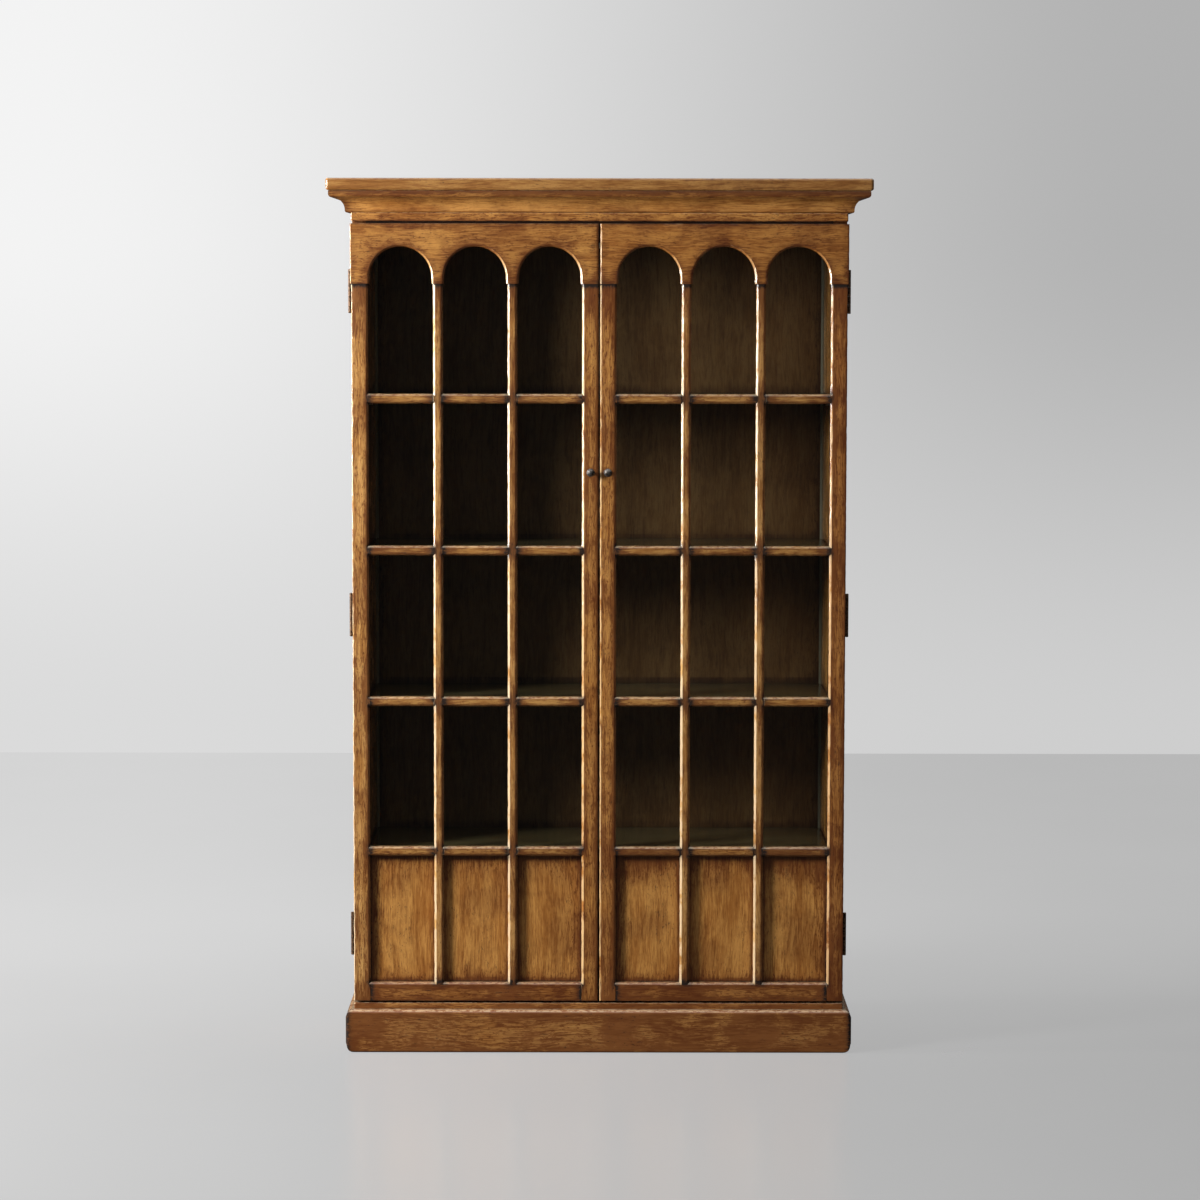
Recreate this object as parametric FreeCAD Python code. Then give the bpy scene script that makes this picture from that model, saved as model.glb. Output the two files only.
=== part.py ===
import FreeCAD, Part

import math
import os

from FreeCAD import Vector

# A glazed display cabinet with two doors, in millimetres.
# X runs to the right, Y from the front to the back, Z up.
# The origin is on the floor, under the middle of the cabinet's overall box.

# Case
case_width = 1186.0
case_depth = 362.0
side_thickness = 35.0
board_thickness = 22.0
rail_thickness = 20.0
back_thickness = 10.0
back_rebate = 10.0
back_inset = 11.0
batten_width = 70.0
batten_thickness = 10.0
corner_bead_radius = 6.0
glue_block_size = 40.0

# Base
plinth_height = 104.0
plinth_thickness = 20.0
plinth_top_round = 9.0
plinth_foot_round = 5.0
plinth_corner_round = 8.0
sill_show = 15.5

# Cornice and the band under it
band_height = 20.5
rail_edge_round = 3.0
rail_set_back = 4.0
moulding_height = 52.0
slab_thickness = 29.0
slab_overhang = 58.0
slab_edge_round = 6.0
slab_corner_round = 7.0
fillet_reach = 52.0
fillet_height = 9.0
fillet_tuck = 8.0
fillet_edge = 2.0
cove_top_reach = 42.0
cove_foot_reach = 15.0
cove_foot_round = 4.5

# Doors
door_gap = 2.5
door_back_gap = 1.0
door_foot_gap = 4.5
door_head_gap = 5.7
door_thickness = 28.0
stile_width = 40.5
bottom_rail_height = 45.5
arch_rail_proud = 3.0
arch_rail_overhang = 2.5
edge_round = 2.5
meeting_edge_round = 4.5
head_lap = 44.0
board_lap = 2.0

# Lights, the openings between the bars
columns = 3
glass_rows = 3
bar_width = 24.0
bar_depth = 18.0
bar_bevel = 4.5
panel_row_height = 308.5
glass_row_height = 340.6
arched_row_height = 262.0
arch_step = 3.5
arch_leg_height = 14.575
arch_crown_drop = 54.8

# Glass, panels and the beads behind them
glass_thickness = 4.0
panel_thickness = 6.0
sheet_rebate = 8.0
sheet_play = 1.0
pocket_above_crown = 10.0

# Hinges
hinge_height = 102.0
hinge_inset = 161.0
knuckles = 5
knuckle_gap = 0.3
barrel_radius = 4.0
barrel_stand_off = 4.6
leaf_width = 25.0
leaf_thickness = 2.0
leaf_gap = 0.3
pin_radius = 1.8
pin_fit = 0.05
pin_head_height = 1.6
pin_head_bevel = 1.1

# Knobs
knob_height = 1408.0
knob_from_edge = 19.5
knob_radius = 10.0
knob_reach = 22.5
knob_brim = 16.0
knob_brim_thickness = 1.5
knob_flare = 4.0
knob_neck_radius = 4.2
knob_neck_waist = 1.2
knob_rose_radius = 8.0
knob_rose_thickness = 2.0
knob_shank_radius = 2.4
knob_shank_length = 16.0
shank_fit = 0.1

# Shelves
shelf_thickness = 18.0
shelf_drop = 6.0
shelf_set_back = 12.0
shelf_play = 1.0
shelf_edge_round = 3.0
shelf_pin_radius = 3.0
shelf_pin_reach = 10.0
shelf_pin_depth = 12.0
shelf_pin_inset = 60.0
shelf_pin_fit = 0.1

# Catch
catch_width = 46.0
catch_height = 14.0
catch_depth = 14.0
catch_clearance = 0.5
strike_width = 18.0
strike_thickness = 1.5
strike_sink = 1.0

# How far a cutting shape runs past the face it cuts, and how near counts as the same place
cut_over = 1.0
same_place = 0.01

# Depth levels, from the front to the back
total_depth = case_depth + slab_overhang
front_y = -total_depth / 2
case_front_y = front_y + slab_overhang
case_back_y = case_front_y + case_depth
door_back_y = case_front_y - door_back_gap
door_front_y = door_back_y - door_thickness
sill_front_y = door_front_y + rail_set_back
plinth_front_y = sill_front_y - plinth_thickness
sheet_front_y = door_front_y + bar_depth
back_panel_back_y = case_back_y - back_inset
back_panel_front_y = back_panel_back_y - back_thickness

# Widths
case_half = case_width / 2
inner_half = case_half - side_thickness
plinth_half = case_half + plinth_thickness
door_inner_x = door_gap / 2
door_width = case_half - door_inner_x
pane_width = (door_width - 2 * stile_width - (columns - 1) * bar_width) / columns
column_pitch = pane_width + bar_width
first_pane_x = door_inner_x + stile_width
last_pane_x = case_half - stile_width

# Heights
sill_top = plinth_height + sill_show
door_bottom = sill_top + door_foot_gap
panel_row_bottom = door_bottom + bottom_rail_height
row_pitch = glass_row_height + bar_width
lowest_bar = panel_row_bottom + panel_row_height
bar_bottoms = [lowest_bar + row * row_pitch for row in range(glass_rows + 1)]
bar_tops = [bottom + bar_width for bottom in bar_bottoms]
joint_z = bar_tops[-1] + arched_row_height
arch_radius = pane_width / 2 - arch_step
spring_z = joint_z + arch_leg_height
crown_z = spring_z + arch_radius
door_top = crown_z + arch_crown_drop
pocket_top = crown_z + pocket_above_crown
band_bottom = door_top + door_head_gap
cornice_bottom = band_bottom + band_height
slab_bottom = cornice_bottom + moulding_height
total_height = slab_bottom + slab_thickness
bottom_board_top = door_bottom + board_lap
bottom_board_bottom = bottom_board_top - board_thickness
top_board_bottom = cornice_bottom - board_thickness
head_rail_bottom = door_top - head_lap

# Hinge axis, on the right; the left one is its mirror image
hinge_x = case_half + barrel_stand_off
hinge_y = case_front_y - door_back_gap / 2
hinge_heights = [door_bottom + hinge_inset, (door_bottom + door_top) / 2, door_top - hinge_inset]

pieces = {}


def block(x0, x1, y0, y1, z0, z1):
    """A straight board between two opposite corners."""
    return Part.makeBox(x1 - x0, y1 - y0, z1 - z0, Vector(x0, y0, z0))


def rod(radius, start, end):
    """A round rod from one point to another."""
    way = end - start
    return Part.makeCylinder(radius, way.Length, start, way)


def edges_at(shape, x=None, y=None, z=None):
    """The straight edges whose middle lies at the coordinates given."""
    found = []
    for edge in shape.Edges:
        middle = edge.CenterOfMass
        pairs = [(middle.x, x), (middle.y, y), (middle.z, z)]
        if all(want is None or abs(have - want) < same_place for have, want in pairs):
            found.append(edge)
    return found


def mirrored(shape):
    """The same piece on the other side of the cabinet."""
    return shape.mirror(Vector(0, 0, 0), Vector(1, 0, 0))


def group(shapes):
    """Several separate solids that share one name."""
    return Part.makeCompound(shapes)


def polygon_prism(points, z0, z1):
    """An upright prism on a closed polygon of x, y points."""
    corners = [Vector(x, y, z0) for x, y in points]
    face = Part.Face(Part.makePolygon(corners + corners[:1]))
    return face.extrude(Vector(0, 0, z1 - z0))


def mitre_wedge(side):
    """Everything nearer to one side moulding than to the front one, along the 45 degree mitre."""
    far = 2 * total_depth
    corner = (side * case_half, case_front_y)
    front = (side * (case_half + far), case_front_y - far)
    outer = (side * (case_half + far), case_back_y + far)
    inner = (side * case_half, case_back_y + far)
    return polygon_prism([corner, front, outer, inner], -cut_over, total_height + cut_over)


# Base

def make_plinth():
    """Three boards round the foot of the case, mitred at the front corners."""
    outer = block(-plinth_half, plinth_half, plinth_front_y, case_back_y, 0, plinth_height)
    uprights = edges_at(outer, x=-plinth_half, y=plinth_front_y)
    uprights += edges_at(outer, x=plinth_half, y=plinth_front_y)
    outer = outer.makeFillet(plinth_corner_round, uprights)
    for z, radius in [(plinth_height, plinth_top_round), (0, plinth_foot_round)]:
        rim = [edge for edge in outer.Edges
               if edge.BoundBox.ZLength < same_place
               and abs(edge.CenterOfMass.z - z) < same_place
               and edge.CenterOfMass.y < case_back_y - same_place]
        outer = outer.makeFillet(radius, rim)
    inside = block(-case_half, case_half, sill_front_y, case_back_y + cut_over,
                   -cut_over, plinth_height + cut_over)
    ring = outer.cut(inside)
    reach = 2 * plinth_thickness
    wedge = polygon_prism(
        [(case_half, sill_front_y), (case_half + reach, sill_front_y - reach),
         (case_half + reach, case_back_y + cut_over), (case_half, case_back_y + cut_over)],
        -cut_over, plinth_height + cut_over)
    pieces["plinth_right"] = ring.common(wedge)
    pieces["plinth_left"] = ring.common(mirrored(wedge))
    pieces["plinth_front"] = ring.cut(group([wedge, mirrored(wedge)]))


def front_board(bottom, top):
    """A board across the front of the case, level with the doors, with its top edge rounded."""
    board = block(-case_half, case_half, sill_front_y, case_front_y, bottom, top)
    worn = edges_at(board, y=sill_front_y, z=top)
    worn += edges_at(board, x=-case_half, y=sill_front_y)
    worn += edges_at(board, x=case_half, y=sill_front_y)
    return board.makeFillet(rail_edge_round, worn)


def make_base():
    make_plinth()
    pieces["sill_board"] = front_board(0, sill_top)
    pieces["back_foot_rail"] = block(
        -inner_half, inner_half, back_panel_front_y, case_back_y, 0, bottom_board_bottom)
    blocks = []
    for side in (-1, 1):
        wall = side * inner_half
        inward = wall - side * glue_block_size
        for face, step in [(case_front_y, glue_block_size), (back_panel_front_y, -glue_block_size)]:
            points = [(wall, face), (inward, face), (wall, face + step)]
            blocks.append(polygon_prism(points, 0, bottom_board_bottom))
    pieces["glue_blocks"] = group(blocks)
    pieces["bottom_board"] = block(
        -inner_half, inner_half, case_front_y, back_panel_front_y,
        bottom_board_bottom, bottom_board_top)


# Case

def shelf_tops():
    """Each shelf lies a little below the top of a row of cross bars."""
    return [top - shelf_drop for top in bar_tops]


def shelf_pin_places():
    """Depth and height of the pins under every shelf."""
    front = case_front_y + shelf_set_back + shelf_pin_inset
    back = back_panel_front_y - shelf_pin_inset
    heights = [top - shelf_thickness - shelf_pin_radius for top in shelf_tops()]
    return [(y, z) for z in heights for y in (front, back)]


def leaf_seat(facing, z_centre):
    """The shallow recess for one hinge leaf; facing is 1 in the case and -1 in the door."""
    face = hinge_y + facing * (leaf_gap / 2 + leaf_thickness)
    y0, y1 = sorted([face, hinge_y])
    half = hinge_height / 2
    return block(case_half - leaf_width, case_half + cut_over, y0, y1,
                 z_centre - half, z_centre + half)


def make_sides():
    side = block(inner_half, case_half, case_front_y, case_back_y, 0, slab_bottom)
    rebate = block(inner_half - cut_over, inner_half + back_rebate,
                   back_panel_front_y, case_back_y + cut_over, bottom_board_bottom, cornice_bottom)
    side = side.cut(rebate)
    for y, z in shelf_pin_places():
        mouth = Vector(inner_half - cut_over, y, z)
        bottom = Vector(inner_half + shelf_pin_depth, y, z)
        side = side.cut(rod(shelf_pin_radius + shelf_pin_fit, mouth, bottom))
    for z in hinge_heights:
        side = side.cut(leaf_seat(1, z))
    pieces["right_side"] = side
    pieces["left_side"] = mirrored(side)


def make_top():
    pieces["top_board"] = block(
        -inner_half, inner_half, case_front_y, back_panel_front_y,
        top_board_bottom, cornice_bottom)
    pieces["head_rail"] = block(
        -inner_half, inner_half, case_front_y, case_front_y + rail_thickness,
        head_rail_bottom, top_board_bottom)
    pieces["upper_front_rail"] = block(
        -inner_half, inner_half, case_front_y, case_front_y + rail_thickness,
        cornice_bottom, slab_bottom)
    pieces["upper_back_rail"] = block(
        -inner_half, inner_half, case_back_y - rail_thickness, case_back_y,
        cornice_bottom, slab_bottom)
    pieces["frieze_band"] = front_board(band_bottom, cornice_bottom)


def make_back():
    edge = inner_half + back_rebate
    panel = block(0, edge, back_panel_front_y, back_panel_back_y, bottom_board_bottom, cornice_bottom)
    pieces["back_panel_right"] = panel
    pieces["back_panel_left"] = mirrored(panel)
    pieces["back_batten"] = block(
        -batten_width / 2, batten_width / 2, back_panel_back_y,
        back_panel_back_y + batten_thickness, bottom_board_bottom, cornice_bottom)
    corner = Vector(inner_half, back_panel_front_y, bottom_board_top)
    height = top_board_bottom - bottom_board_top
    bead = Part.makeCylinder(corner_bead_radius, height, corner, Vector(0, 0, 1))
    quarter = block(inner_half - corner_bead_radius, inner_half,
                    back_panel_front_y - corner_bead_radius, back_panel_front_y,
                    bottom_board_top, top_board_bottom)
    bead = bead.common(quarter)
    pieces["back_corner_beads"] = group([bead, mirrored(bead)])


def make_shelves():
    half = inner_half - shelf_play
    front = case_front_y + shelf_set_back
    back = back_panel_front_y - shelf_play
    notch = corner_bead_radius + shelf_play
    for number, top in enumerate(shelf_tops(), start=1):
        bottom = top - shelf_thickness
        shelf = block(-half, half, front, back, bottom, top)
        nose = edges_at(shelf, y=front, z=top) + edges_at(shelf, y=front, z=bottom)
        shelf = shelf.makeFillet(shelf_edge_round, nose)
        corner = block(inner_half - notch, inner_half, back_panel_front_y - notch,
                       back_panel_front_y, bottom - cut_over, top + cut_over)
        shelf = shelf.cut(group([corner, mirrored(corner)]))
        pieces[f"shelf_{number}"] = shelf
    pins = []
    for y, z in shelf_pin_places():
        pin = rod(shelf_pin_radius, Vector(inner_half - shelf_pin_reach, y, z),
                  Vector(inner_half + shelf_pin_depth, y, z))
        pins += [pin, mirrored(pin)]
    pieces["shelf_pins"] = group(pins)


# Cornice

def cornice_profile():
    """The moulding's section as x out from the case and z up: foot, cove, fillet."""
    foot = cornice_bottom
    foot_flat = cove_foot_reach - cove_foot_round
    cove_start = foot + cove_foot_round
    fillet_foot = slab_bottom - fillet_height
    cove_end = fillet_foot - fillet_tuck
    bead_start = fillet_reach - fillet_tuck
    turn = math.sqrt(0.5)
    foot_middle = (foot_flat + cove_foot_round * turn, cove_start - cove_foot_round * turn)
    cove_middle = (cove_top_reach - (cove_top_reach - cove_foot_reach) * turn,
                   cove_start + (cove_end - cove_start) * turn)
    bead_middle = (bead_start + fillet_tuck * turn, fillet_foot - fillet_tuck * turn)
    return [
        ("line", None, (foot_flat, foot)),
        ("arc", foot_middle, (cove_foot_reach, cove_start)),
        ("arc", cove_middle, (cove_top_reach, cove_end)),
        ("line", None, (bead_start, cove_end)),
        ("arc", bead_middle, (fillet_reach, fillet_foot)),
        ("line", None, (fillet_reach, slab_bottom - fillet_edge)),
        ("line", None, (fillet_reach - fillet_edge, slab_bottom)),
        ("line", None, (0, slab_bottom)),
        ("line", None, (0, foot)),
    ]


def moulding_face(place):
    """The cornice section as a face, with place turning (reach, height) into a point."""
    edges = []
    here = (0, cornice_bottom)
    for kind, middle, end in cornice_profile():
        if kind == "arc":
            edges.append(Part.Arc(place(*here), place(*middle), place(*end)).toShape())
        else:
            edges.append(Part.LineSegment(place(*here), place(*end)).toShape())
        here = end
    return Part.Face(Part.Wire(edges))


def make_cornice():
    reach = slab_overhang
    half = case_half + reach
    front = moulding_face(lambda out, z: Vector(-half, case_front_y - out, z))
    front = front.extrude(Vector(2 * half, 0, 0))
    wedges = [mitre_wedge(side) for side in (-1, 1)]
    pieces["cornice_front"] = front.cut(group(wedges))
    side = moulding_face(lambda out, z: Vector(case_half + out, front_y, z))
    side = side.extrude(Vector(0, case_back_y - front_y, 0)).common(mitre_wedge(1))
    pieces["cornice_right"] = side
    pieces["cornice_left"] = mirrored(side)
    slab = block(-half, half, front_y, case_back_y, slab_bottom, total_height)
    corners = edges_at(slab, x=-half, y=front_y) + edges_at(slab, x=half, y=front_y)
    slab = slab.makeFillet(slab_corner_round, corners)
    rim = [edge for edge in slab.Edges
           if edge.BoundBox.ZLength < same_place
           and edge.CenterOfMass.y < case_back_y - same_place]
    pieces["cornice_slab"] = slab.makeFillet(slab_edge_round, rim)


# Doors. The right door is built, and the left one mirrors it.

def pane_edges(column):
    """Left and right sight edges of one column of lights, counted from the meeting stile."""
    left = first_pane_x + column * column_pitch
    return left, left + pane_width


def bevel_cutter(x0, x1, z0, z1, top_bevel=True):
    """Bevels the front edges all round one light."""
    wide = bar_bevel + cut_over
    rise = wide if top_bevel else 0
    return Part.makeWedge(
        x0 - wide, door_front_y - cut_over, z0 - wide, z0, x0,
        x1 + wide, door_front_y + bar_bevel, z1 + rise, z1, x1)


def row_spans():
    """Bottom and top sight edges of every row of lights, the panels first."""
    bottoms = [panel_row_bottom] + bar_tops
    tops = bar_bottoms + [joint_z]
    return list(zip(bottoms, tops))


def all_bevels():
    cutters = []
    for column in range(columns):
        left, right = pane_edges(column)
        for bottom, top in row_spans():
            under_arch = top == joint_z
            cutters.append(bevel_cutter(left, right, bottom, top, not under_arch))
    return group(cutters)


def sheet_space():
    """The rebate behind the bars, open to the back, that takes the glass and the panel."""
    return block(first_pane_x - sheet_rebate, last_pane_x + sheet_rebate,
                 sheet_front_y, door_back_y + cut_over,
                 panel_row_bottom - sheet_rebate, pocket_top)


def arch_cutter(centre_x, front):
    """One arch, sawn right through the rail, and the bevel along its front edge."""
    spring = Vector(centre_x, front - cut_over, spring_z)
    inward = Vector(0, 1, 0)
    depth = door_back_y - front + 2 * cut_over
    wide = arch_radius + bar_bevel + cut_over
    slope = bar_bevel + cut_over
    foot = joint_z - cut_over
    head = Part.makeCylinder(arch_radius, depth, spring, inward)
    legs = block(centre_x - arch_radius, centre_x + arch_radius,
                 front - cut_over, front - cut_over + depth, foot, spring.z)
    head_bevel = Part.makeCone(wide, arch_radius, slope, spring, inward)
    leg_bevel = Part.makeWedge(
        centre_x - wide, spring.y, foot, foot, centre_x - arch_radius,
        centre_x + wide, spring.y + slope, spring.z, spring.z, centre_x + arch_radius)
    return group([head, legs, head_bevel, leg_bevel])


def make_arch_rail():
    """One board with the arches sawn out of its lower edge."""
    front = door_front_y - arch_rail_proud
    outer = case_half + arch_rail_overhang
    rail = block(door_inner_x, outer, front, door_back_y, joint_z, door_top)
    rail = rail.makeFillet(meeting_edge_round, edges_at(rail, x=door_inner_x, y=front))
    rail = rail.makeFillet(edge_round, edges_at(rail, x=outer, y=front))
    for column in range(columns):
        centre_x = sum(pane_edges(column)) / 2
        for cutter in arch_cutter(centre_x, front).Solids:
            rail = rail.cut(cutter)
    rail = rail.cut(sheet_space())
    hinge_top = hinge_heights[-1] + hinge_height / 2
    barrel_room = rod(barrel_radius + knuckle_gap, Vector(hinge_x, hinge_y, joint_z - cut_over),
                      Vector(hinge_x, hinge_y, hinge_top + 2 * pin_head_height))
    return rail.cut(barrel_room)


def make_stiles():
    hinge_stile = block(last_pane_x, case_half, door_front_y, door_back_y, door_bottom, joint_z)
    hinge_stile = hinge_stile.makeFillet(
        edge_round, edges_at(hinge_stile, x=case_half, y=door_front_y))
    meeting = block(door_inner_x, first_pane_x, door_front_y, door_back_y, door_bottom, joint_z)
    meeting = meeting.makeFillet(
        meeting_edge_round, edges_at(meeting, x=door_inner_x, y=door_front_y))
    return hinge_stile, meeting


def cross_bars(row):
    bars = []
    for column in range(columns):
        left, right = pane_edges(column)
        bars.append(block(left, right, door_front_y, sheet_front_y, bar_bottoms[row], bar_tops[row]))
    return bars


def upright_bars():
    bars = []
    for column in range(columns - 1):
        left = pane_edges(column)[1]
        bars.append(block(left, left + bar_width, door_front_y, sheet_front_y,
                          panel_row_bottom, joint_z))
    return bars


def make_sheets():
    """The glass above the lowest cross bar and the wooden panel below it, and their beads."""
    left = first_pane_x - sheet_rebate
    right = last_pane_x + sheet_rebate
    bottom = panel_row_bottom - sheet_rebate
    split = lowest_bar + bar_width / 2
    play = sheet_play / 2
    glass = block(left + play, right - play, sheet_front_y, sheet_front_y + glass_thickness,
                  split + play, pocket_top - play)
    panel = block(left + play, right - play, sheet_front_y, sheet_front_y + panel_thickness,
                  bottom + play, split - play)
    glass_back = sheet_front_y + glass_thickness
    panel_back = sheet_front_y + panel_thickness
    middle_bottom = split - sheet_rebate
    middle_top = split + sheet_rebate
    beads = [
        block(left, right, glass_back, door_back_y, split, middle_top),
        block(left, right, panel_back, door_back_y, middle_bottom, split - play),
        block(left, right, glass_back, door_back_y, pocket_top - sheet_rebate, pocket_top),
        block(left, right, panel_back, door_back_y, bottom, bottom + sheet_rebate),
    ]
    for x0, x1 in [(left, first_pane_x), (last_pane_x, right)]:
        beads.append(block(x0, x1, glass_back, door_back_y, middle_top, pocket_top - sheet_rebate))
        beads.append(block(x0, x1, panel_back, door_back_y, bottom + sheet_rebate, middle_bottom))
    return glass, panel, group(beads)


def make_knob():
    """A turned knob with a rose, a waisted neck, a domed head and a shank in the stile."""
    dome = knob_reach - knob_brim
    dome_radius = (knob_radius ** 2 + dome ** 2) / (2 * dome)
    dome_centre = knob_reach - dome_radius
    half_angle = math.asin(knob_radius / dome_radius) / 2
    neck_top = knob_brim - knob_brim_thickness - knob_flare
    neck_middle = (knob_rose_thickness + neck_top) / 2

    def point(radius, out):
        return Vector(radius, 0, out)

    outline = [
        point(0, -knob_shank_length), point(knob_shank_radius, -knob_shank_length),
        point(knob_shank_radius, 0), point(knob_rose_radius, 0),
        point(knob_rose_radius, knob_rose_thickness / 2),
        point(knob_neck_radius + knob_neck_waist, knob_rose_thickness),
    ]
    edges = [Part.LineSegment(a, b) for a, b in zip(outline, outline[1:])]
    neck_end = point(knob_neck_radius + knob_neck_waist, neck_top)
    edges.append(Part.Arc(outline[-1], point(knob_neck_radius, neck_middle), neck_end))
    under_brim = point(knob_radius, knob_brim - knob_brim_thickness)
    brim = point(knob_radius, knob_brim)
    dome_middle = point(dome_radius * math.sin(half_angle),
                        dome_centre + dome_radius * math.cos(half_angle))
    tip = point(0, knob_reach)
    edges.append(Part.LineSegment(neck_end, under_brim))
    edges.append(Part.LineSegment(under_brim, brim))
    edges.append(Part.Arc(brim, dome_middle, tip))
    edges.append(Part.LineSegment(tip, outline[0]))
    face = Part.Face(Part.Wire([edge.toShape() for edge in edges]))
    knob = face.revolve(Vector(0, 0, 0), Vector(0, 0, 1), 360)
    knob.rotate(Vector(0, 0, 0), Vector(1, 0, 0), 90)
    knob.translate(Vector(door_inner_x + knob_from_edge, door_front_y, knob_height))
    return knob


def make_catch_parts():
    """A double catch under the head rail, and the plate on the door that it holds."""
    front = case_front_y - door_back_gap + catch_clearance
    top = head_rail_bottom
    pieces["catch"] = block(-catch_width / 2, catch_width / 2, front + strike_thickness - strike_sink,
                            case_front_y + catch_depth, top - catch_height, top)
    left = door_inner_x + meeting_edge_round / 2
    return block(left, left + strike_width, door_back_y - strike_sink,
                 door_back_y - strike_sink + strike_thickness, top - catch_height, top)


def make_doors():
    bevels = all_bevels()
    space = sheet_space()
    hinge_stile, meeting = make_stiles()
    strike = make_catch_parts()
    hinge_stile = hinge_stile.cut(bevels).cut(space)
    arch_rail = make_arch_rail().cut(strike)
    for z in hinge_heights:
        hinge_stile = hinge_stile.cut(leaf_seat(-1, z))
        arch_rail = arch_rail.cut(leaf_seat(-1, z))
    shank_x = door_inner_x + knob_from_edge
    shank_hole = rod(knob_shank_radius + shank_fit,
                     Vector(shank_x, door_front_y - cut_over, knob_height),
                     Vector(shank_x, door_front_y + knob_shank_length + cut_over, knob_height))
    meeting = meeting.cut(bevels).cut(space).cut(shank_hole)
    bottom_rail = block(first_pane_x, last_pane_x, door_front_y, door_back_y,
                        door_bottom, panel_row_bottom)
    bottom_rail = bottom_rail.cut(bevels).cut(space)
    glass, panel, beads = make_sheets()
    door = {
        "hinge_stile": hinge_stile,
        "meeting_stile": meeting,
        "bottom_rail": bottom_rail,
        "arch_rail": arch_rail,
        "upright_bars": group([bar.cut(bevels) for bar in upright_bars()]),
        "glass": glass,
        "panel": panel,
        "glazing_beads": beads,
        "knob": make_knob(),
        "strike_plate": strike,
        "hinge_leaves": group([butt_leaf(-1, z) for z in hinge_heights]),
    }
    for row in range(len(bar_tops)):
        door[f"cross_bars_{row + 1}"] = group([bar.cut(bevels) for bar in cross_bars(row)])
    for name, shape in door.items():
        pieces[f"right_{name}"] = shape
        pieces[f"left_{name}"] = mirrored(shape)


# Hinges

def butt_leaf(facing, z_centre):
    """One leaf and its knuckles; facing is 1 for the case's leaf and -1 for the door's."""
    half = hinge_height / 2
    y0, y1 = sorted([hinge_y + facing * leaf_gap / 2,
                     hinge_y + facing * (leaf_gap / 2 + leaf_thickness)])
    root = hinge_x - barrel_radius - knuckle_gap
    leaf = block(case_half - leaf_width, root, y0, y1, z_centre - half, z_centre + half)
    pitch = hinge_height / knuckles
    first = 0 if facing > 0 else 1
    for number in range(first, knuckles, 2):
        bottom = z_centre - half + number * pitch + knuckle_gap / 2
        top = bottom + pitch - knuckle_gap
        leaf = leaf.fuse(block(root - cut_over, hinge_x, y0, y1, bottom, top))
        leaf = leaf.fuse(rod(barrel_radius, Vector(hinge_x, hinge_y, bottom),
                             Vector(hinge_x, hinge_y, top)))
    bore = rod(pin_radius + pin_fit, Vector(hinge_x, hinge_y, z_centre - half - cut_over),
               Vector(hinge_x, hinge_y, z_centre + half + cut_over))
    return leaf.cut(bore).removeSplitter()


def hinge_pin(z_centre):
    """A pin with a bevelled head at both ends."""
    half = hinge_height / 2 - knuckle_gap / 2
    pin = rod(pin_radius, Vector(hinge_x, hinge_y, z_centre - half),
              Vector(hinge_x, hinge_y, z_centre + half))
    for end in (-1, 1):
        face = z_centre + end * half
        head = rod(barrel_radius, Vector(hinge_x, hinge_y, face),
                   Vector(hinge_x, hinge_y, face + end * pin_head_height))
        outer = edges_at(head, z=face + end * pin_head_height)
        pin = pin.fuse(head.makeChamfer(pin_head_bevel, outer))
    return pin


def make_case_hinges():
    leaves = [butt_leaf(1, z) for z in hinge_heights]
    pins = [hinge_pin(z) for z in hinge_heights]
    pieces["case_hinge_leaves"] = group(leaves + [mirrored(leaf) for leaf in leaves])
    pieces["hinge_pins"] = group(pins + [mirrored(pin) for pin in pins])


make_base()
make_sides()
make_top()
make_back()
make_shelves()
make_cornice()
make_doors()
make_case_hinges()

os.makedirs("parts", exist_ok=True)
for name, shape in pieces.items():
    shape.exportStep(f"parts/{name}.step")
print(len(pieces), "nodes,", round(total_height, 1), "mm high,",
      round(2 * (case_half + slab_overhang), 1), "mm wide,", round(total_depth, 1), "mm deep")
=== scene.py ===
import math
from typing import NamedTuple

import bmesh
import bpy
import numpy as np
from mathutils import Euler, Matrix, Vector, noise
from mathutils.bvhtree import BVHTree


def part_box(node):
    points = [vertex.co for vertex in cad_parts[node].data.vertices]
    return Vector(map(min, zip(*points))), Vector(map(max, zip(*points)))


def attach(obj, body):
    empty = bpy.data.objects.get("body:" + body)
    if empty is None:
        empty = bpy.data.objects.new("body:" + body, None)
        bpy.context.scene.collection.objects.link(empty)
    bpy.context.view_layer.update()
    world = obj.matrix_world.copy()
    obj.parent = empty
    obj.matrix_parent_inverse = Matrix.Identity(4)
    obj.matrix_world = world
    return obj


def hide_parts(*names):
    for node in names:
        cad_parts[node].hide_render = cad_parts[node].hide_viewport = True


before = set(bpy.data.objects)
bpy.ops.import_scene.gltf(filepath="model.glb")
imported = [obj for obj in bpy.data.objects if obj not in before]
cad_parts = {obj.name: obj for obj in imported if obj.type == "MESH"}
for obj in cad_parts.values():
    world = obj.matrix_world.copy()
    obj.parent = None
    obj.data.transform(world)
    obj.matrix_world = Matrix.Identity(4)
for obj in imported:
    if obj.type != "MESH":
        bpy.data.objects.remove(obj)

bl_info = {
    "name": "Glazed arched display cabinet",
    "version": (1, 0, 0),
    "blender": (4, 5, 0),
    "location": "3D View > Sidebar > Cabinet",
    "description": "Worn timber, glass and ironwork for a two-door display cabinet",
    "category": "Object",
}

ROWS = range(1, 5)      # rows of cross bars, and shelves

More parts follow.
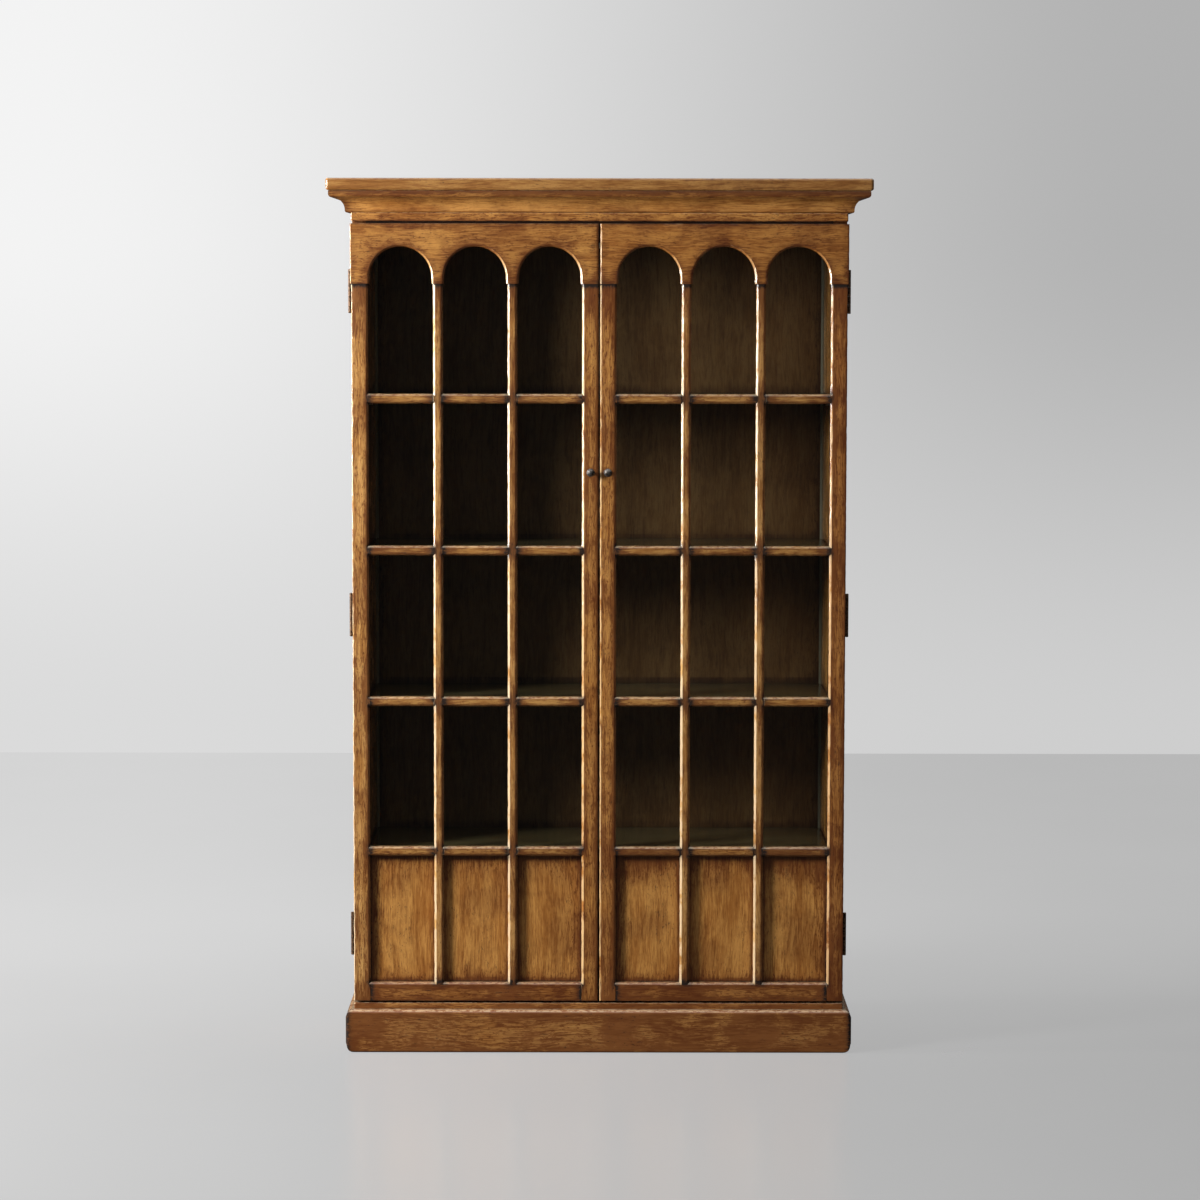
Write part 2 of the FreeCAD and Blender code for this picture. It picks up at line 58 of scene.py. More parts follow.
# The case's worn timber: the way the grain runs, the finish and the widest face of the mesh.
TIMBER = {
    "plinth_front": ("X", "base", 0.006),
    "plinth_right": ("Y", "base", 0.006),
    "plinth_left": ("Y", "base", 0.006),
    "sill_board": ("X", "base", 0.006),
    "right_side": ("Z", "case", 0.013),
    "left_side": ("Z", "case", 0.013),
    "frieze_band": ("X", "band", 0.007),
    "cornice_front": ("X", "mould", 0.008),
    "cornice_right": ("Y", "mould", 0.008),
    "cornice_left": ("Y", "mould", 0.008),
    "cornice_slab": ("X", "slab", 0.012),
    "back_panel_right": ("Z", "inside", 0.018),
    "back_panel_left": ("Z", "inside", 0.018),
    "bottom_board": ("X", "shelf", 0.018),
    **{f"shelf_{row}": ("X", "shelf", 0.018) for row in ROWS},
}
# Each door's worn timber: the way the grain runs and the finish.
DOOR_TIMBER = {
    "hinge_stile": ("Z", "stile"),
    "meeting_stile": ("Z", "door"),
    "bottom_rail": ("X", "rail"),
    "arch_rail": ("X", "head"),
    "upright_bars": ("Z", "bar"),
    **{f"cross_bars_{row}": ("X", "cross") for row in ROWS},
    "panel": ("Z", "panel"),
}
# Pieces of the right door that are darker than the left door's: painted shade, as the right side
# lies farther from the light at the left.
SHADED_RIGHT = {"right_hinge_stile": "dark", "right_arch_rail": "dark_head"}
# CAD nodes that keep their shape and get plain inner timber.
HIDDEN_TIMBER = {
    "glue_blocks": "Z",
    "back_foot_rail": "X",
    "top_board": "X",
    "head_rail": "X",
    "upper_front_rail": "X",
    "upper_back_rail": "X",
    "back_batten": "Z",
    "right_glazing_beads": "Z",
    "left_glazing_beads": "Z",
}
# Heights at which the glaze ends in a dark top; the last is above the cabinet, so it never shows.
JOINT_LINE = 1.858
PANEL_TOP = 0.50
NO_TOP = 9.0


class Finish(NamedTuple):
    """What sets one kind of timber apart; apart from tint and top, all are shares."""
    tint: tuple                 # multiplies the wood's colours
    contrast: float = 1.0       # 0 is all honey, 1 is honey and light wood
    stain: float = 0.0          # more or less glaze all over
    age: float = 1.0            # soil in joints and pores, and painted shade in shut-in corners
    rub: float = 1.0            # wood worn bare, with painted highlights on arrises facing the light and on upward ledges
    halo: float = 0.55          # glaze left along the edges
    top: float = NO_TOP         # height of the dark top


FINISHES = {
    "door": Finish((1.07, 1.09, 1.12), stain=0.04, top=JOINT_LINE),
    "stile": Finish((1.20, 1.38, 1.80), top=JOINT_LINE),
    # Painted shade: the right hinge stile, darker as if farther from the light at the left.
    "dark": Finish((0.98, 0.93, 0.93), stain=0.20, top=JOINT_LINE),
    "bar": Finish((1.06, 1.22, 1.62), halo=0.35, top=JOINT_LINE),
    "cross": Finish((1.02, 1.16, 1.42), rub=0.9, halo=0.35),
    "band": Finish((1.09, 1.09, 1.09), halo=0.25),
    "rail": Finish((0.98, 0.95, 0.95), stain=0.20),
    "head": Finish((0.93, 0.92, 0.90), halo=0.40),
    # Painted shade: the right arch rail, darker as if farther from the light at the left.
    "dark_head": Finish((0.79, 0.72, 0.64), halo=0.40),
    "panel": Finish((1.0, 1.0, 1.0), rub=0.8, top=PANEL_TOP),
    "case": Finish((1.0, 1.0, 1.0), stain=0.06, halo=0.75),
    "mould": Finish((0.98, 0.98, 1.02), stain=-0.02, age=0.25, halo=0.35),
    "slab": Finish((0.86, 0.91, 1.06), stain=0.18, halo=1.0),
    "base": Finish((1.28, 1.43, 1.80), contrast=0.8, stain=0.04),
    "shelf": Finish((0.24, 0.44, 0.92), contrast=0.5, age=0.7, rub=0.0, halo=0.0),
    "inside": Finish((0.30, 0.36, 0.57), contrast=0.5, age=0.6, rub=0.0, halo=0.0),
}
# Each metal: its colour's name in the settings, its roughness, and its patina's colour.
METALS = {
    "blackened_iron": ("iron", 0.55, (0.040, 0.025, 0.016)),
    "dark_bronze": ("knob", 0.36, (0.045, 0.034, 0.026)),
    "dull_steel": ("steel", 0.42, (0.09, 0.08, 0.07)),
}
# Each light: where it hangs, what it aims at, and its width and height.
LAMPS = {
    "key": ((-3.2, -1.9, 2.3), (0, -0.18, 1.1), (0.9, 1.1)),
    "edge": ((-3.3, -0.26, 1.68), (0, -0.2, 1.4), (0.3, 1.5)),
    "fill": ((0.8, -5.0, 3.6), (0, -0.18, 1.1), (2.4, 1.6)),
}
WELD = 1e-5                             # CAD corners closer than this are one
FLAT = math.radians(0.5)                # CAD faces that turn by less are one
ROUND = math.radians(6)                 # the least turn between the facets of a rounded edge
ARRIS = math.radians(28)                # the least turn of a sharp edge
CREASE = math.cos(math.radians(50))     # faces that turn by more are shaded apart
SOFT_EDGE = 0.0045                      # how far an edge's wear reaches
JOINT_REACH = 2 * SOFT_EDGE             # how far the dirt of a joint reaches
KNOT_REACH = 7 * SOFT_EDGE              # how far the glaze of a joint reaches
SKY_REACH = 0.045                       # how near a surface must be to shut in another
SKY_RINGS = ((0.35, 4), (0.75, 7))      # spread and count of the rays that look for one
SKY_LIFT = 0.0004                       # from a surface to the start of those rays
COVER_LIFT = 0.00015                    # the same for the ray that looks for a cover
COVER_LEAN = (0.013, 0.017, 0.011)      # keeps that ray off exact edges
EDGE_INSET = 0.0006                     # from an edge to where its two faces are tried
NICKS, FINE_NICKS, HOLLOWS = 62, 190, 21    # how close together they are, to a metre
PLINTH_FOOT_ROUND = 0.018
PLINTH_TOP_ROUND = 0.014
HINGE_GAP = 0.3                         # hinges are farther apart than this
SCREW_COLUMNS = (0.5860, 0.5755)        # distances from the middle of the cabinet
SCREW_RISES = (-0.040, -0.014, 0.014, 0.040)    # from the middle of the hinge
SCREW_HEIGHT = 0.0002                   # of the head, through its whole thickness
NAIL_HEIGHT = 0.0008
NAIL_ROWS = 13                          # up each side of the back
NAIL_COLUMNS = 4                        # along the top and the foot of each back panel
NAIL_INSET = 0.005                      # from the nails to the panel's upright edge
NAIL_MARGIN = 0.011                     # from the nails to the panel's top and foot
NAIL_END = 0.03                         # from the first and the last row to the panel's ends
FOCAL_LENGTH = 106.95                   # in millimetres, on a sensor 36 wide
EYE_X = 0.0011
EYE_DOWN = math.radians(4.94)           # how far the camera looks down
EYE_ROLL = math.radians(-0.087)

shapes = {}     # what timber_shape made, by node
solids = {}     # the tree of all CAD solids, once it is made


# Settings

class TimberSettings(bpy.types.PropertyGroup):
    """Colours and wear of the waxed timber, and the colours of its painted shade and highlights.
    """
    light: bpy.props.FloatVectorProperty(
        name="Light wood", description="The palest wood, worn thin of stain", subtype="COLOR",
        size=3, min=0, max=1, default=(0.60, 0.284, 0.066))
    honey: bpy.props.FloatVectorProperty(
        name="Honey", description="The usual colour of the doors", subtype="COLOR",
        size=3, min=0, max=1, default=(0.365, 0.137, 0.0235))
    glaze: bpy.props.FloatVectorProperty(
        name="Glaze", description="What the dark reddish glaze leaves of the wood's colour",
        subtype="COLOR", size=3, min=0, max=1, default=(0.33, 0.22, 0.16))
    # This colour also paints the shade in shut-in recesses.
    grime: bpy.props.FloatVectorProperty(
        name="Grime", description="Old wax and dirt in the corners", subtype="COLOR",
        size=3, min=0, max=1, default=(0.018, 0.009, 0.005))
    # This colour also paints the highlights on arrises facing the light and on upward ledges.
    bare: bpy.props.FloatVectorProperty(
        name="Bare wood", description="Wood rubbed bare along the arrises", subtype="COLOR",
        size=3, min=0, max=1, default=(0.72, 0.47, 0.22))
    pitch: bpy.props.FloatProperty(
        name="Mesh pitch", description="Widest face of the doors' timber", subtype="DISTANCE",
        unit="LENGTH", min=0.003, max=0.05, default=0.0065)
    arris: bpy.props.FloatProperty(
        name="Arris", description="Width of the softened arrises", subtype="DISTANCE",
        unit="LENGTH", min=0.0002, max=0.003, default=0.0013)
    wear: bpy.props.FloatProperty(
        name="Wear", description="Depth of the nicks along the arrises", subtype="DISTANCE",
        unit="LENGTH", min=0, max=0.003, default=0.0015)
    ripple: bpy.props.FloatProperty(
        name="Ripple", description="Depth of the hand-planed hollows", subtype="DISTANCE",
        unit="LENGTH", min=0, max=0.001, default=0.00018)


class MetalSettings(bpy.types.PropertyGroup):
    """Colours of the ironwork."""
    iron: bpy.props.FloatVectorProperty(
        name="Iron", description="Blackened hinges", subtype="COLOR",
        size=3, min=0, max=1, default=(0.15, 0.09, 0.055))
    knob: bpy.props.FloatVectorProperty(
        name="Knob", description="Darkened bronze of the knobs", subtype="COLOR",
        size=3, min=0, max=1, default=(0.16, 0.15, 0.14))
    steel: bpy.props.FloatVectorProperty(
        name="Steel", description="Catch, strike plates, pins and nails", subtype="COLOR",
        size=3, min=0, max=1, default=(0.30, 0.29, 0.27))
    screw_radius: bpy.props.FloatProperty(
        name="Screw head", description="Radius of the hinge screws' heads", subtype="DISTANCE",
        unit="LENGTH", min=0.001, max=0.006, default=0.0034)
    nail_radius: bpy.props.FloatProperty(
        name="Nail head", description="Radius of the nails in the back panels", subtype="DISTANCE",
        unit="LENGTH", min=0.001, max=0.006, default=0.0022)


class StageSettings(bpy.types.PropertyGroup):
    """Floor, light and camera."""
    floor: bpy.props.FloatVectorProperty(
        name="Floor", description="Pale studio floor", subtype="COLOR",
        size=3, min=0, max=1, default=(0.08, 0.08, 0.08))
    key: bpy.props.FloatProperty(
        name="Key light", description="Power of the large light at the left front",
        unit="POWER", min=0, default=208)
    edge: bpy.props.FloatProperty(
        name="Edge light", description="Power of the light straight at the left",
        unit="POWER", min=0, default=110)
    fill: bpy.props.FloatProperty(
        name="Fill light", description="Power of the light over the camera",
        unit="POWER", min=0, default=3)
    overhead: bpy.props.FloatProperty(
        name="Overhead", description="Strength of the light from above", min=0, default=0.45)
    ambient: bpy.props.FloatProperty(
        name="Ambient", description="Strength of the light from all round", min=0, default=0.12)
    mirrored: bpy.props.FloatProperty(
        name="Dim room", description="Strength of what the glass reflects", min=0, default=0.03)
    gleam: bpy.props.FloatProperty(
        name="Gleam", description="Strength of what the arrises reflect from above",
        min=0, default=2.0)
    eye_height: bpy.props.FloatProperty(
        name="Eye height", description="Height of the camera", subtype="DISTANCE",
        unit="LENGTH", min=0, default=1.839)
    eye_distance: bpy.props.FloatProperty(
        name="Eye distance", description="From the camera to the cabinet's middle",
        subtype="DISTANCE", unit="LENGTH", min=1, default=8.717)


# Node trees

def put(tree, kind, inputs=None, **values):
    """Adds a node, sets its properties, and fills or links its inputs."""
    made = tree.nodes.new(kind)
    for name, value in values.items():
        setattr(made, name, value)
    for name, value in (inputs or {}).items():
        if isinstance(value, bpy.types.NodeSocket):
            tree.links.new(value, made.inputs[name])
        else:
            made.inputs[name].default_value = value
    return made


def maths(tree, operation, a, b, clamp=False):
    """One sum with two numbers."""
    made = put(tree, "ShaderNodeMath", {0: a, 1: b}, operation=operation, use_clamp=clamp)
    return made.outputs[0]


def sum_of(tree, *terms):
    """Adds up socket times weight for each pair."""
    total = None
    for socket, weight in terms:
        part = maths(tree, "MULTIPLY", socket, weight)
        total = part if total is None else maths(tree, "ADD", total, part)
    return total


def plus(tree, a, b):
    """Adds two numbers and keeps the sum from 0 to 1."""
    return maths(tree, "ADD", a, b, clamp=True)


def times(tree, *factors):
    """Multiplies numbers one after the other, each product kept from 0 to 1."""
    total = factors[0]
    for factor in factors[1:]:
        total = maths(tree, "MULTIPLY", total, factor, clamp=True)
    return total


def ramp(tree, value, low, high, first=0.0, last=1.0, smooth=True):
    """Runs from first at low to last at high, and stays there past both."""
    made = put(tree, "ShaderNodeMapRange", {
        "Value": value, "From Min": low, "From Max": high, "To Min": first, "To Max": last},
        interpolation_type="SMOOTHSTEP" if smooth else "LINEAR")
    return made.outputs["Result"]


def step(tree, value, low, high):
    """Rises smoothly from 0 at low to 1 at high."""
    return ramp(tree, value, low, high)


def blended(tree, share, first, second, blend_type="MIX"):
    """Mixes two colours."""
    made = put(tree, "ShaderNodeMix", data_type="RGBA", blend_type=blend_type)
    for socket, value in zip((made.inputs[0], made.inputs[6], made.inputs[7]),
                             (share, first, second)):
        if isinstance(value, bpy.types.NodeSocket):
            tree.links.new(value, socket)
        else:
            socket.default_value = value
    return made.outputs[2]


def parts_of(tree, vector):
    """The X, Y and Z of a vector."""
    return put(tree, "ShaderNodeSeparateXYZ", {"Vector": vector}).outputs


def relief_of(tree, height, strength, depth):
    """The normal of a surface with this height, in shares of the depth."""
    return put(tree, "ShaderNodeBump", {
        "Strength": strength, "Distance": depth, "Height": height}).outputs[0]


def noise_at(tree, place, scale, detail=3.0, roughness=0.55):
    """Soft patches, from 0 to 1."""
    return put(tree, "ShaderNodeTexNoise", {
        "Vector": place, "Scale": scale, "Detail": detail, "Roughness": roughness}).outputs["Fac"]


def stretched(tree, place, stretch):
    """The place with each axis multiplied by its part of stretch."""
    return put(tree, "ShaderNodeVectorMath", {0: place, 1: stretch},
               operation="MULTIPLY").outputs[0]


def new_material(name):
    """An empty node material with its output."""
    material = bpy.data.materials.new(name)
    material.use_nodes = True
    tree = material.node_tree
    tree.nodes.clear()
    return material, tree, put(tree, "ShaderNodeOutputMaterial")


def rgba(colour, factor=1.0):
    """A setting's colour as a node wants it, made lighter or darker."""
    return (*(min(1.0, part * factor) for part in colour), 1.0)


def grey(shade):
    return (shade, shade, shade, 1.0)


def timber_group():
    """Colour, roughness and relief of glazed and waxed timber, from its place and its finish, with
    painted shade in shut-in recesses and on arrises facing away from the light, and painted
    highlights on arrises and ledges facing it.
    """
    tree = bpy.data.node_groups.new("waxed_timber", "ShaderNodeTree")
    socket = tree.interface.new_socket
    for kind, names in (("Color", ("Light", "Honey", "Glaze", "Grime", "Bare")),
                        ("Vector", ("Grain", "Figure")),
                        ("Float", ("Stain", "Age", "Rub", "Halo", "Top"))):
        for name in names:
            socket(name, in_out="INPUT", socket_type="NodeSocket" + kind)
    for name, kind in (("Colour", "Color"), ("Roughness", "Float"), ("Normal", "Vector")):
        socket(name, in_out="OUTPUT", socket_type="NodeSocket" + kind)
    given = put(tree, "NodeGroupInput").outputs

    # The wood's figure, long along the grain and slightly bent.
    place = put(tree, "ShaderNodeTexCoord").outputs["Object"]
    bend = put(tree, "ShaderNodeTexNoise", {"Vector": place, "Scale": 4.0, "Detail": 1.0})
    bent = stretched(tree, bend.outputs["Color"], (0.03, 0.03, 0.03))
    bent = put(tree, "ShaderNodeVectorMath", {0: place, 1: bent}, operation="ADD").outputs[0]
    along = stretched(tree, bent, given["Grain"])
    figure = stretched(tree, bent, given["Figure"])
    fine = noise_at(tree, along, 420.0, 2.0, 0.60)
    streaks = noise_at(tree, along, 150.0, 3.0, 0.65)
    bands = noise_at(tree, along, 42.0, 3.0, 0.55)
    clouds = noise_at(tree, figure, 17.0, 5.0, 0.62)
    flecks = noise_at(tree, figure, 230.0, 3.0, 0.65)
    patches = step(tree, noise_at(tree, place, 7.0, 5.0, 0.65), 0.46, 0.60)
    tone = sum_of(tree, (fine, 0.24), (streaks, 0.24), (bands, 0.18), (clouds, 0.34))
    colour = blended(tree, step(tree, tone, 0.42, 0.58), given["Honey"], given["Light"])

    # How near an edge or a joint the place is, how open, how high, and which way it faces.
    finish = put(tree, "ShaderNodeAttribute", attribute_name="finish")
    kept = put(tree, "ShaderNodeSeparateColor", {"Color": finish.outputs["Color"]}).outputs
    edge, open_air, joint, near = kept[0], kept[1], kept[2], finish.outputs["Alpha"]
    shut = maths(tree, "SUBTRACT", 1.0, open_air)
    height = parts_of(tree, place)["Z"]
    below = maths(tree, "SUBTRACT", given["Top"], height)
    foot = step(tree, height, 0.19, 0.15)
    facing = parts_of(tree, put(tree, "ShaderNodeTexCoord").outputs["Normal"])
    # Which way an arris faces the light at the left: lit ones get a painted highlight, the others
    # painted shade.
    shade_side = step(tree, facing["X"], -0.45, 0.30)
    lit_side = times(tree, step(tree, facing["X"], 0.05, -0.50),
                     step(tree, facing["Z"], -0.62, -0.15))
    arris = step(tree, edge, 0.42, 0.72)

    # The glaze: dark where it was left, in soft hatching round there, thin where hands wore it;
    # painted shade on arrises facing away from the light and in shut-in recesses, and a painted
    # highlight of thinner glaze on arrises facing the light.
    uneven = ramp(tree, step(tree, clouds, 0.38, 0.56), 0.0, 1.0, first=0.4, smooth=False)
    distance = maths(tree, "LOGARITHM", edge, math.e)
    halo = times(tree, step(tree, distance, -4.2, -0.9), uneven, given["Halo"])
    knots = times(tree, step(tree, near, 0.25, 0.90), uneven)
    # Painted shade: more glaze where the point is shut in from the air.
    painted_recess_shade = times(tree, step(tree, shut, 0.02, 0.34), uneven, times(tree, given["Age"], 1.6))
    high = times(tree, step(tree, below, 0.14, 0.0), uneven)
    spread = sum_of(tree, (step(tree, near, 0.12, 0.50), 0.6), (halo, 0.4), (high, 0.6),
                    (foot, 0.3))
    dashes = sum_of(tree, (step(tree, flecks, 0.45, 0.35), 0.9),
                    (step(tree, fine, 0.50, 0.40), 0.5))
    hatch = times(tree, plus(tree, spread, 0.25), dashes)
    coat = sum_of(tree, (patches, 0.20), (times(tree, patches, given["Rub"]), 0.20),
                  (halo, 0.85), (knots, 0.8), (foot, 0.20), (painted_recess_shade, 0.75),
                  (step(tree, streaks, 0.48, 0.36), 0.22), (hatch, 0.8), (high, 0.75),
                  (times(tree, arris, lit_side), -0.7), (times(tree, arris, shade_side), 0.5))
    coat = plus(tree, coat, given["Stain"])
    colour = blended(tree, coat, colour, given["Glaze"], blend_type="MULTIPLY")

    # Dirt in joints, pores and the lap under the dark top, and painted shade in recesses shut in
    # from the air.
    crevice = times(tree, step(tree, joint, 0.15, 0.85), step(tree, flecks, 0.25, 0.50))
    specks = times(tree, step(tree, flecks, 0.60, 0.68), step(tree, clouds, 0.44, 0.58))
    lap = times(tree, step(tree, below, 0.014, 0.002), uneven)
    soiled = times(tree, step(tree, near, 0.50, 0.95), step(tree, flecks, 0.42, 0.54))
    dirt_and_shade = sum_of(tree, (step(tree, shut, 0.30, 0.90), 0.75), (crevice, 0.85), (specks, 0.60),
                  (lap, 0.6), (soiled, 0.32))
    dirt_and_shade = times(tree, dirt_and_shade, given["Age"])
    colour = blended(tree, dirt_and_shade, colour, given["Grime"])

    # Wood worn bare along open edges, drawn only on arrises facing the light, so also a painted
    # highlight; flecks of bare wood on upward ledges, which paint those tops lighter as if lit
    # from above.
    lit_ledge = times(tree, step(tree, facing["Z"], 0.40, 0.80), step(tree, flecks, 0.40, 0.56))
    rubbed_and_lit = times(tree, step(tree, edge, 0.50, 0.85), step(tree, open_air, 0.40, 0.70),
                   step(tree, noise_at(tree, place, 21.0, 4.0, 0.6), 0.36, 0.52), lit_side)
    bare = times(tree, sum_of(tree, (rubbed_and_lit, 0.85), (lit_ledge, 0.40)), given["Rub"])
    colour = blended(tree, bare, colour, given["Bare"])

    rough = sum_of(tree, (streaks, 0.16), (clouds, 0.22), (dirt_and_shade, 0.18))
    relief = sum_of(tree, (streaks, 0.45), (flecks, 0.45), (clouds, 0.50), (specks, -0.5))
    put(tree, "NodeGroupOutput", {
        "Colour": colour, "Roughness": maths(tree, "ADD", rough, 0.36),
        "Normal": relief_of(tree, relief, 0.45, 0.0010)})
    return tree


def timber_material(finish, grain):
    """One finish with its grain along X, Y or Z."""
    name = f"{finish}_timber_{grain.lower()}"
    if name in bpy.data.materials:
        return bpy.data.materials[name]
    timber = bpy.context.scene.cabinet_timber
    kind = FINISHES[finish]

    def tinted(colour):
        return rgba([part * share for part, share in zip(colour, kind.tint)])

    palest = [b + (a - b) * kind.contrast for a, b in zip(timber.light, timber.honey)]
    material, tree, output = new_material(name)
    group = bpy.data.node_groups.get("waxed_timber") or timber_group()
    stretch, figure = [1.0, 1.0, 1.0], [1.0, 1.0, 1.0]
    stretch["XYZ".index(grain)] = 0.08
    figure["XYZ".index(grain)] = 0.35
    wood = put(tree, "ShaderNodeGroup", node_tree=group)
    for socket, value in (
            ("Light", tinted(palest)), ("Honey", tinted(timber.honey)),
            ("Bare", tinted(timber.bare)), ("Glaze", rgba(timber.glaze)),
            ("Grime", rgba(timber.grime)), ("Grain", stretch), ("Figure", figure),
            ("Stain", kind.stain), ("Age", kind.age), ("Rub", kind.rub),
            ("Halo", kind.halo), ("Top", kind.top)):
        wood.inputs[socket].default_value = value
    shader = put(tree, "ShaderNodeBsdfPrincipled", {
        "Base Color": wood.outputs["Colour"], "Roughness": wood.outputs["Roughness"],
        "Normal": wood.outputs["Normal"], "Specular IOR Level": 0.25, "Coat Weight": 0.9,
        "Coat Roughness": 0.16})
    tree.links.new(shader.outputs[0], output.inputs["Surface"])
    return material


def metal_material(name):
    """Metal with a darker, rougher patina in patches and a fine hammered relief."""
    if name in bpy.data.materials:
        return bpy.data.materials[name]
    setting, roughness, patina = METALS[name]
    colour = getattr(bpy.context.scene.cabinet_metal, setting)
    material, tree, output = new_material(name)
    place = put(tree, "ShaderNodeTexCoord").outputs["Object"]
    patches = noise_at(tree, place, 180.0, 5.0, 0.65)
    grains = noise_at(tree, place, 900.0, 2.0, 0.5)
    shade = blended(tree, step(tree, patches, 0.40, 0.62), rgba(colour, 1.35), rgba(patina))
    relief = sum_of(tree, (patches, 0.7), (grains, 0.3))
    shader = put(tree, "ShaderNodeBsdfPrincipled", {
        "Base Color": shade, "Metallic": 0.9,
        "Roughness": ramp(tree, patches, 0.0, 1.0, roughness - 0.10, roughness + 0.22,
                          smooth=False),
        "Normal": relief_of(tree, relief, 0.35, 0.0004)})
    tree.links.new(shader.outputs[0], output.inputs["Surface"])
    return material


def glass_material():
    """Clear old sheet glass: it lets light through, and mirrors a little with a slight wave."""
    material, tree, output = new_material("sheet_glass")
    place = put(tree, "ShaderNodeTexCoord").outputs["Object"]
    swell = noise_at(tree, stretched(tree, place, (1.0, 1.0, 0.35)), 7.0, 2.0, 0.4)
    film = noise_at(tree, place, 16.0, 4.0, 0.6)
    mirror = put(tree, "ShaderNodeBsdfGlossy", {
        "Color": (0.9, 0.92, 0.91, 1),
        "Roughness": ramp(tree, film, 0.0, 1.0, 0.015, 0.09, smooth=False),
        "Normal": relief_of(tree, swell, 0.25, 0.004)})
    clear = put(tree, "ShaderNodeBsdfTransparent", {"Color": (0.94, 0.955, 0.94, 1)})
    back = put(tree, "ShaderNodeNewGeometry").outputs["Backfacing"]
    share = times(tree, put(tree, "ShaderNodeFresnel", {"IOR": 1.45}).outputs[0],
                  maths(tree, "SUBTRACT", 1.0, back))
    mix = put(tree, "ShaderNodeMixShader", {0: share, 1: clear.outputs[0], 2: mirror.outputs[0]})
    tree.links.new(mix.outputs[0], output.inputs["Surface"])
    return material


def bead_material():
    """Pale dusty beads in the back corners."""
    material, tree, output = new_material("pale_bead")
    place = put(tree, "ShaderNodeTexCoord").outputs["Object"]
    tone = noise_at(tree, stretched(tree, place, (1.0, 1.0, 0.08)), 160.0, 4.0, 0.6)
    shader = put(tree, "ShaderNodeBsdfPrincipled", {
        "Base Color": blended(tree, tone, (0.10, 0.08, 0.045, 1), (0.20, 0.17, 0.11, 1)),
        "Roughness": 0.6, "Normal": relief_of(tree, tone, 0.3, 0.0005)})
    tree.links.new(shader.outputs[0], output.inputs["Surface"])
    return material


def dress(node, material):
    """Gives a CAD node one material."""
    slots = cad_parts[node].data.materials
    slots.clear()
    slots.append(material)


# Timber meshes

def all_solids():
    """One tree of every CAD solid at rest, for telling what is covered and what is shut in."""
    if "tree" not in solids:
        points = []
        triangles = []
        for node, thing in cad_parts.items():
            if node.endswith("_glass"):
                continue
            first = len(points)
            points += [tuple(vertex.co) for vertex in thing.data.vertices]
            triangles += [[first + corner for corner in face.vertices]
                          for face in thing.data.polygons]
        solids["tree"] = BVHTree.FromPolygons(points, triangles)
    return solids["tree"]


def is_covered(point, normal):
    """True where the surface at this point lies against another solid."""
    aim = (normal + Vector(COVER_LEAN)).normalized()
    hit = all_solids().ray_cast(point + normal * COVER_LIFT, aim, 3.0)
    return hit[0] is not None and hit[1].dot(aim) > 0


def edge_kinds(bm):
    """Sorts the edges into open arrises, open rounded edges and joints against another piece."""
    arrises = []
    rounds = []
    joints = []
    for edge in bm.edges:
        turn = edge.calc_face_angle_signed(0)
        if turn < ROUND:
            continue
        covered = 0
        middle = (edge.verts[0].co + edge.verts[1].co) / 2
        for loop in edge.link_loops:
            run = (loop.link_loop_next.vert.co - loop.vert.co).normalized()
            inward = loop.face.normal.cross(run)
            covered += is_covered(middle + inward * EDGE_INSET, loop.face.normal)
        if covered == 0:
            (arrises if turn > ARRIS else rounds).append(edge)
        elif covered == 1 and turn > ARRIS:
            joints.append(edge)
    return arrises, rounds, joints


def cut_across(bm, faces, axis, places):
    """Cuts the faces by planes square to an axis, halving the job each time."""
    if not places or not faces:
        return
    middle = len(places) // 2
    normal = Vector((0, 0, 0))
    normal[axis] = 1
    parts = [*{v for f in faces for v in f.verts}, *{e for f in faces for e in f.edges}, *faces]
    cut = bmesh.ops.bisect_plane(bm, geom=parts, plane_co=normal * places[middle],
                                 plane_no=normal, dist=1e-7)
    left = [part for part in cut["geom"] if isinstance(part, bmesh.types.BMFace)]
    below = [f for f in left if f.calc_center_median()[axis] < places[middle]]
    above = [f for f in left if f.calc_center_median()[axis] >= places[middle]]
    cut_across(bm, below, axis, places[:middle])
    cut_across(bm, above, axis, places[middle + 1:])


def distances(points, lines):
    """From each point to the nearest of the lines, in metres."""
    nearest = np.full(len(points), 1.0)
    for start, end in lines:
        run = end - start
        share = np.clip(((points - start) @ run) / max(run @ run, 1e-12), 0, 1)
        gap = np.linalg.norm(points - start - share[:, None] * run, axis=1)
        nearest = np.minimum(nearest, gap)
    return nearest


def sky(points, normals):
    """How open each point is to the air round it, from 0 to 1; the timber's painted shade is drawn
    where it is low.
    """
    tree = all_solids()
    rays = []
    for ring, count in SKY_RINGS:
        for turn in range(count):
            angle = 2 * math.pi * (turn + ring) / count
            rays.append((ring * math.cos(angle), ring * math.sin(angle),
                         math.sqrt(1 - ring * ring)))
    result = np.ones(len(points))
    for index, (point, normal) in enumerate(zip(points, normals)):
        out = Vector(normal)
        side = out.orthogonal().normalized()
        other = out.cross(side)
        start = Vector(point) + out * SKY_LIFT
        shut = 0.0
        for a, b, c in rays:
            hit = tree.ray_cast(start, side * a + other * b + out * c, SKY_REACH)
            if hit[0] is not None:
                shut += 1 - hit[3] / SKY_REACH
        result[index] = 1 - shut / len(rays)
    return result


def values_of(items, name, width=1, kind=float):
    """One property of all vertices, corners or faces, as an array."""
    values = np.empty(len(items) * width, kind)
    items.foreach_get(name, values)
    return values if width == 1 else values.reshape(-1, width)


def face_arrays(mesh):
    """Corner vertices, faces of the corners, face normals, areas and centres, as arrays."""
    faces = mesh.polygons
    owner = np.repeat(np.arange(len(faces)), values_of(faces, "loop_total", kind=int))
    return (values_of(mesh.loops, "vertex_index", kind=int), owner,
            values_of(faces, "normal", 3), values_of(faces, "area"),
            values_of(faces, "center", 3))


